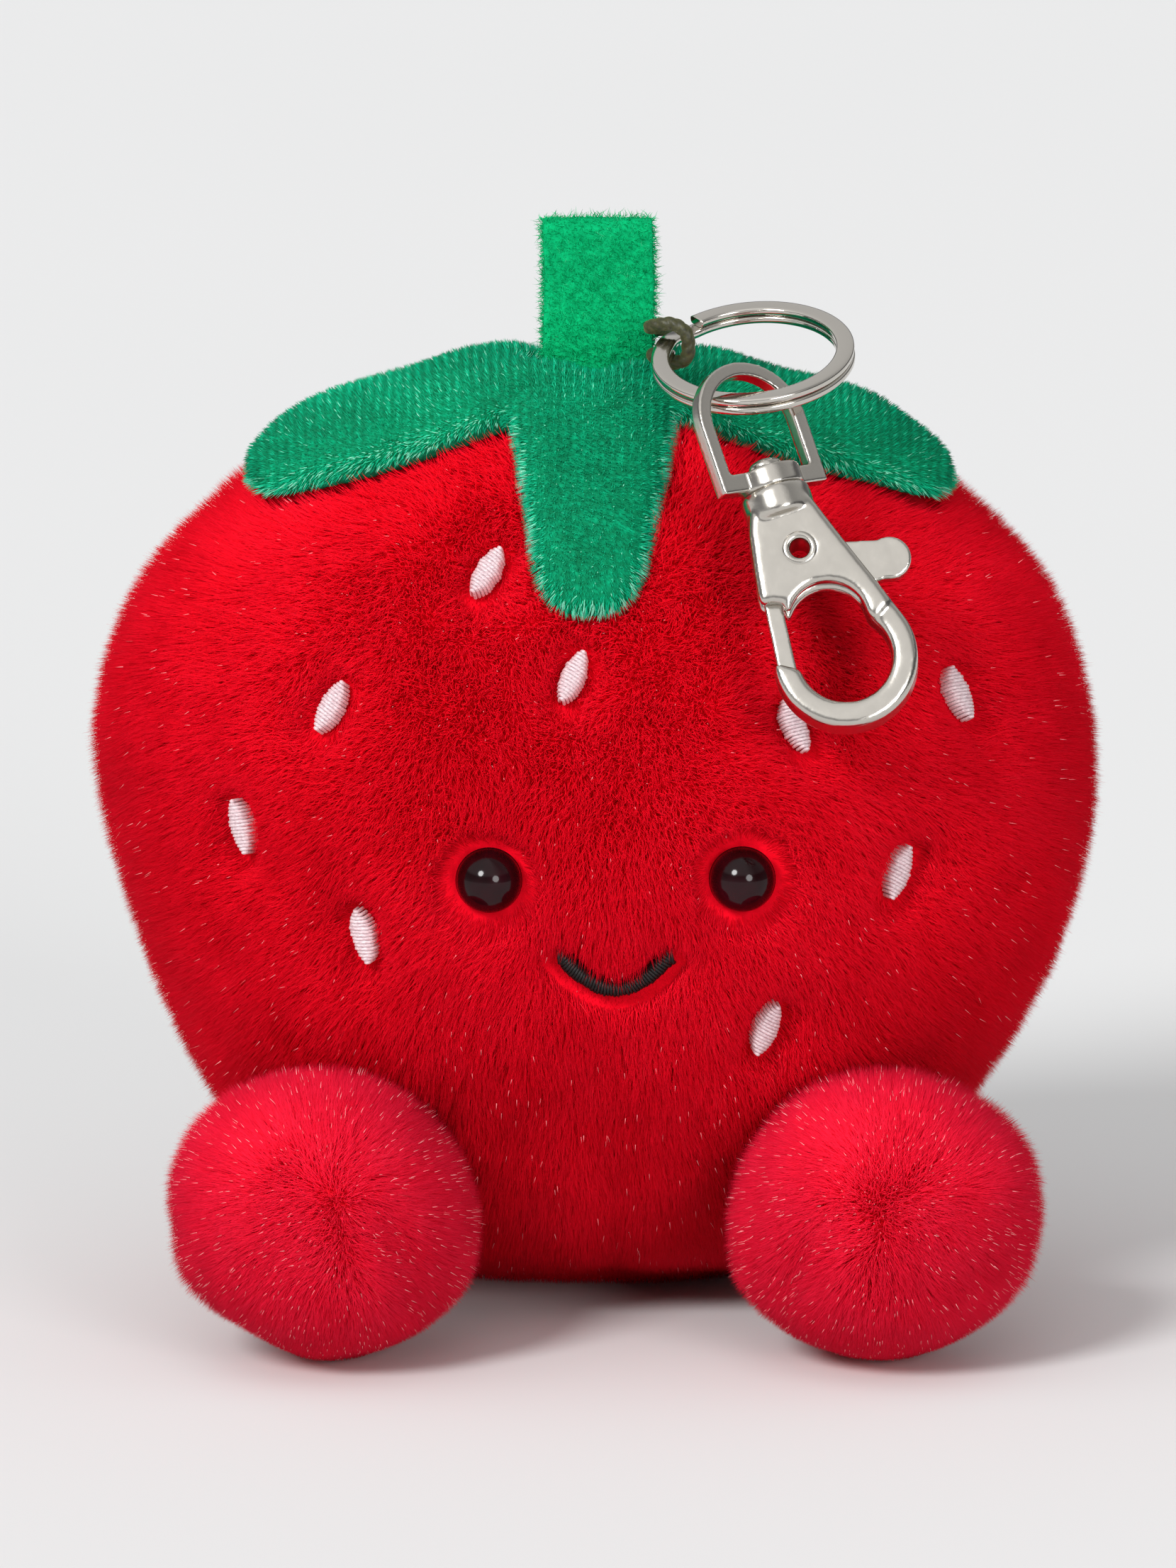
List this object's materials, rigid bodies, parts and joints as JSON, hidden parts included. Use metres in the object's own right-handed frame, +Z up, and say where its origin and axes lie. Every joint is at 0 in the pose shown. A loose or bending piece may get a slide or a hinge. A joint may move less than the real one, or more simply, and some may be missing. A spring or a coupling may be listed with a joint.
{
  "type": "plush keychain",
  "caption": "Stuffed strawberry plush with two round feet and leafy top, on a corded split ring with a swivel trigger clasp.",
  "frame": {"origin": "on the resting plane, under the middle of the bounding box", "axes": "+Z up, face towards -Y, +X to the right of the face as seen from the front"},
  "size_m": [0.0914, 0.0725, 0.1082],
  "materials": {
    "plush_body": "short dense red plush pile",
    "plush_feet": "longer brighter red plush pile",
    "velour_green": "ribbed green panne velour with light glints",
    "felt_green": "needle-punched green felt",
    "filling_fibre": "white polyester fibre filling",
    "bead_cloth": "woven inner pouch filled with beads",
    "cord_olive": "dark olive braided cord",
    "eye_black": "polished black dome with a maroon edge",
    "washer_plastic": "natural moulded nylon",
    "thread_black": "black satin stitch",
    "thread_white": "white satin stitch",
    "nickel_plate": "bright nickel plate with a faint cast grain",
    "nickel_wire": "bright nickel-plated spring wire",
    "spring_steel": "bare spring steel"
  },
  "bodies": {
    "plush": {"front_panel": "plush_body", "back_panel": "plush_body", "base_panel": "plush_body", "body_filling": "filling_fibre", "bead_pouch": "bead_cloth", "left_foot_skin": "plush_feet", "right_foot_skin": "plush_feet", "left_foot_filling": "filling_fibre", "right_foot_filling": "filling_fibre", "calyx_top": "velour_green", "calyx_wadding": "filling_fibre", "calyx_underside": "velour_green", "stem_tab": "felt_green", "ring_cord": "cord_olive", "cord_knot": "cord_olive", "left_eye": "eye_black", "right_eye": "eye_black", "left_eye_washer": "washer_plastic", "right_eye_washer": "washer_plastic", "mouth_stitching": "thread_black", "seed_stitching_front": "thread_white", "seed_stitching_back": "thread_white"},
    "ring": {"split_ring": "nickel_wire"},
    "bail": {"swivel_bail": "nickel_plate"},
    "hook": {"swivel_post": "nickel_plate", "hook_body": "nickel_plate", "pivot_rivet": "nickel_plate", "gate_spring": "spring_steel"},
    "gate": {"gate_lever": "nickel_plate"}
  },
  "joints": [
    {"name": "ring_swing", "type": "hinge", "parent": "plush", "child": "ring", "pos_m": [0.00758, -0.00096, 0.09738], "axis": [-0.4426, -0.8348, -0.3273], "range_deg": [0, 80]},
    {"name": "bail_swing", "type": "hinge", "parent": "ring", "child": "bail", "pos_m": [0.01469, -0.01352, 0.09367], "axis": [-0.9904, 0.1316, -0.0412], "range_deg": [0, 50]},
    {"name": "hook_swivel", "type": "hinge", "parent": "bail", "child": "hook", "pos_m": [0.01768, -0.0175, 0.08546], "axis": [-0.3112, 0.4147, 0.8551], "continuous": true},
    {"name": "gate_press", "type": "hinge", "parent": "hook", "child": "gate", "pos_m": [0.02017, -0.02018, 0.07995], "axis": [-0.0097, -0.9011, 0.4335], "range_deg": [0, 26], "stiffness_Nm_per_rad": 0.02, "springref_deg": -20.05, "deforming": ["gate_spring"]}
  ]
}
